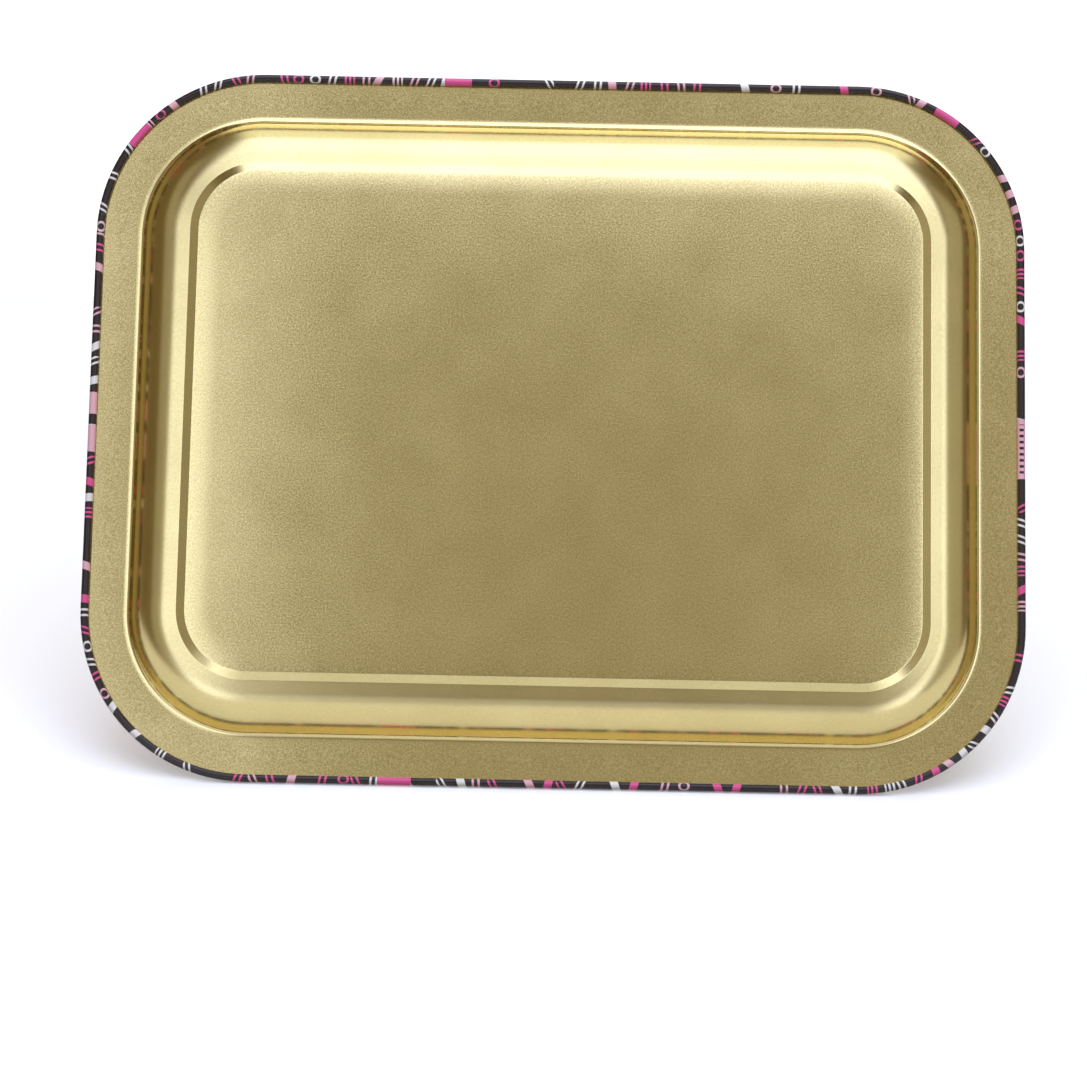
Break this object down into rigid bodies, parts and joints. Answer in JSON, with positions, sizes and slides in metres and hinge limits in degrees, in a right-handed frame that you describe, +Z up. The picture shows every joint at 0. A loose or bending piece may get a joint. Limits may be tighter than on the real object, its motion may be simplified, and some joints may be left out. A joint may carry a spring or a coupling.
{
  "type": "serving tray",
  "caption": "Shallow rectangular pressed-tin serving tray with rounded corners, a flat flange, a rolled rim and a beaded flat base.",
  "frame": {"origin": "middle of the underside of the flat base", "axes": "+X along the long side, +Y along the short side, +Z up, out of the printed face"},
  "size_m": [0.34, 0.26, 0.0135],
  "materials": {
    "tinplate": "bare tinned steel, seen only at the cut edge inside the rolled rim",
    "gold_lacquer": "thin satin gold lacquer over bright tinplate, fine rolled grain",
    "face_print": "near-black ink with pink, pale pink and white shapes under gloss varnish"
  },
  "bodies": {
    "root": {"tinplate_pressing": "tinplate", "gold_back_lacquer": "gold_lacquer", "printed_face_coat": "face_print"}
  },
  "joints": []
}
